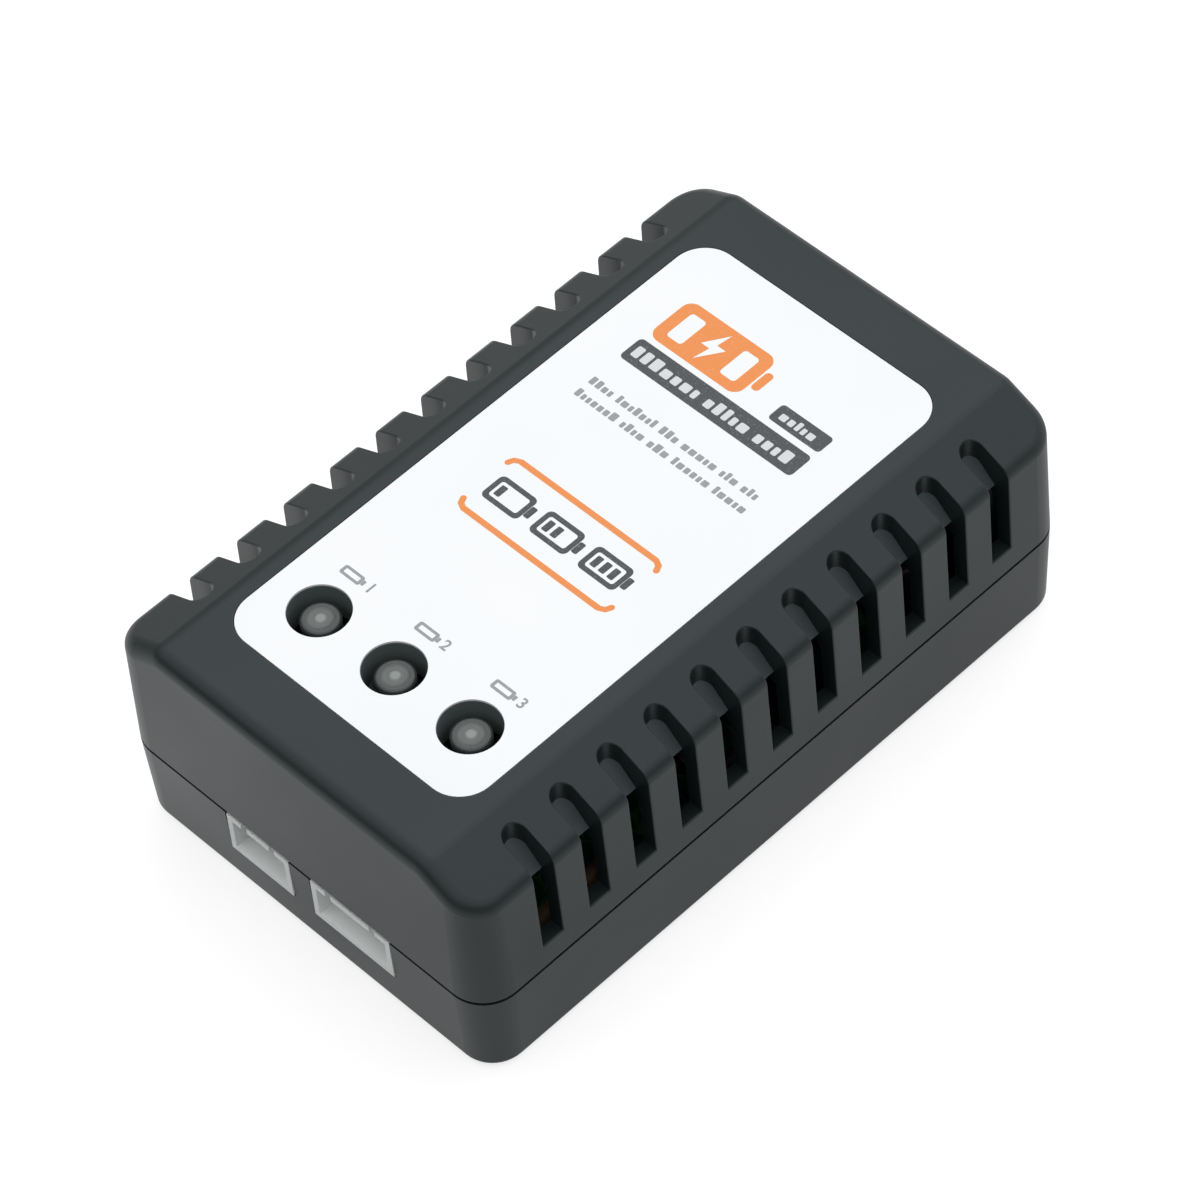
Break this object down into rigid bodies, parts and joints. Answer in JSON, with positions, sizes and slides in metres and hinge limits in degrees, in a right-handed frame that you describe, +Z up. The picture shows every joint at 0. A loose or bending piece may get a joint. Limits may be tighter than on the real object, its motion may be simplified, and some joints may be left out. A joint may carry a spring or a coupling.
{
  "type": "balance battery charger",
  "caption": "Small mains-powered balance charger: black slotted two-part case with sloping shoulders, white face label, indicator lights and two balance sockets.",
  "frame": {"origin": "centre of the base, on the surface it stands on", "axes": "+Z up, +Y along the case towards the mains inlet, the balance ports face -Y, +X across the case"},
  "size_m": [0.0574, 0.0914, 0.032],
  "materials": {
    "case": "fine grained black moulding",
    "label": "white printed film, satin",
    "led": "milky lens resin",
    "tinned": "bright tin plate",
    "spacer": "black nylon",
    "board": "green solder mask",
    "header": "natural white nylon",
    "inlet": "black glass-filled nylon",
    "nickel": "nickel plate",
    "component_dark": "moulded epoxy",
    "film_capacitor": "yellow box",
    "ferrite": "sintered dark grey",
    "copper_wire": "enamelled copper",
    "capacitor_sleeve": "shrink sleeve",
    "disc_capacitor": "blue dipped coating",
    "winding_tape": "yellow polyester tape",
    "resistor_body": "tan lacquer",
    "screw": "blackened steel"
  },
  "bodies": {
    "root": {"upper_shell": "case", "lower_shell": "case", "face_label": "label", "led_1": "led", "led_2": "led", "led_3": "led", "led_leads": "tinned", "led_spacers": "spacer", "circuit_board": "board", "balance_port_3pin": "header", "balance_port_4pin": "header", "port_pins_3pin": "tinned", "port_pins_4pin": "tinned", "mains_inlet": "inlet", "inlet_pins": "nickel", "input_fuse": "component_dark", "x_capacitor": "film_capacitor", "choke_core": "ferrite", "choke_windings": "copper_wire", "bridge_rectifier": "component_dark", "bulk_capacitor": "capacitor_sleeve", "switching_controller": "component_dark", "y_capacitor": "disc_capacitor", "optocoupler": "component_dark", "transformer_core": "ferrite", "transformer_bobbin": "spacer", "transformer_winding": "winding_tape", "output_diodes": "component_dark", "output_capacitors": "capacitor_sleeve", "charge_controllers": "component_dark", "resistors": "resistor_body", "case_screws": "screw"}
  },
  "joints": []
}
